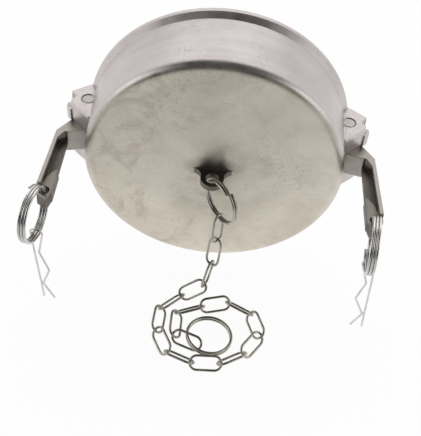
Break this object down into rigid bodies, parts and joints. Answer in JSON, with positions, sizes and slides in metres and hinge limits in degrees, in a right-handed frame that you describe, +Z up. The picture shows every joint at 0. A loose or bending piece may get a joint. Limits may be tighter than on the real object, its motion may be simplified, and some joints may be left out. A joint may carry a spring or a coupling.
{
  "type": "camlock dust cap",
  "caption": "Round blind cap for a camlock pipe adapter, with cam levers, pull rings, safety clips and a chain tether.",
  "frame": {"origin": "on the socket axis, where the pilot bore starts just in front of the gasket", "axes": "+Y out of the open mouth along the socket axis, so the closed face looks along -Y; +Z up, with the chain hanging from the lug on the face; +X to the right lever as seen with the closed face in front"},
  "size_m": [0.2587, 0.1721, 0.2056],
  "materials": {
    "cast_body": "cast, lightly brushed, turned on the rim",
    "cast_lever": "cast, satin",
    "pin_steel": "satin, ends dressed flush",
    "gasket_rubber": "matte",
    "bright_wire": "bright drawn wire",
    "dull_wire": "dull drawn wire"
  },
  "bodies": {
    "cap": {"cap_body": "cast_body", "gasket": "gasket_rubber", "pivot_pin_left": "pin_steel", "pivot_pin_right": "pin_steel"},
    "lever_left": {"cam_lever_left": "cast_lever"},
    "lever_right": {"cam_lever_right": "cast_lever"},
    "ring_left": {"finger_ring_left": "bright_wire"},
    "ring_right": {"finger_ring_right": "bright_wire"},
    "clip_left": {"safety_clip_left": "bright_wire"},
    "clip_right": {"safety_clip_right": "bright_wire"},
    "tether_drop": {"lug_ring": "dull_wire", "chain_link_01": "dull_wire", "chain_link_02": "dull_wire", "chain_link_03": "dull_wire"},
    "tether_coil": {"chain_link_04": "dull_wire", "chain_link_05": "dull_wire", "chain_link_06": "dull_wire", "chain_link_07": "dull_wire", "chain_link_08": "dull_wire", "chain_link_09": "dull_wire", "chain_link_10": "dull_wire", "chain_link_11": "dull_wire", "chain_link_12": "dull_wire", "chain_link_13": "dull_wire", "chain_link_14": "dull_wire", "chain_link_15": "dull_wire", "chain_link_16": "dull_wire", "chain_link_17": "dull_wire"},
    "tether_ring": {"chain_end_ring": "dull_wire"}
  },
  "joints": [
    {"name": "lever_left_pivot", "type": "hinge", "parent": "cap", "child": "lever_left", "pos_m": [-0.1002, 0.0284, 0], "axis": [0, 0, 1], "range_deg": [-95, 0]},
    {"name": "lever_right_pivot", "type": "hinge", "parent": "cap", "child": "lever_right", "pos_m": [0.1002, 0.0284, 0], "axis": [0, 0, 1], "range_deg": [0, 95]},
    {"name": "ring_left_swing", "type": "hinge", "parent": "lever_left", "child": "ring_left", "pos_m": [-0.1189, -0.053, 0], "axis": [0, 0, 1], "range_deg": [-35, 35]},
    {"name": "ring_right_swing", "type": "hinge", "parent": "lever_right", "child": "ring_right", "pos_m": [0.1189, -0.053, 0], "axis": [0, 0, 1], "range_deg": [-35, 35]},
    {"name": "clip_left_swing", "type": "hinge", "parent": "ring_left", "child": "clip_left", "pos_m": [-0.12273, -0.07268, -0.0203], "axis": [-0.1908, -0.9816, 0], "range_deg": [-60, 60]},
    {"name": "clip_right_swing", "type": "hinge", "parent": "ring_right", "child": "clip_right", "pos_m": [0.11821, -0.07309, -0.02025], "axis": [-0.1045, -0.9945, 0], "range_deg": [-60, 60]},
    {"name": "tether_lug_swing", "type": "hinge", "parent": "cap", "child": "tether_drop", "pos_m": [0, -0.0227, 0], "axis": [-1, 0, 0], "range_deg": [0, 60]},
    {"name": "tether_lift", "type": "hinge", "parent": "tether_drop", "child": "tether_coil", "pos_m": [0.00084, -0.05387, -0.08607], "axis": [-1, 0, 0], "range_deg": [0, 35]},
    {"name": "end_ring_lift", "type": "hinge", "parent": "tether_coil", "child": "tether_ring", "pos_m": [-0.00726, -0.10027, -0.09761], "axis": [0.4067, -0.9135, 0], "range_deg": [0, 60]}
  ]
}
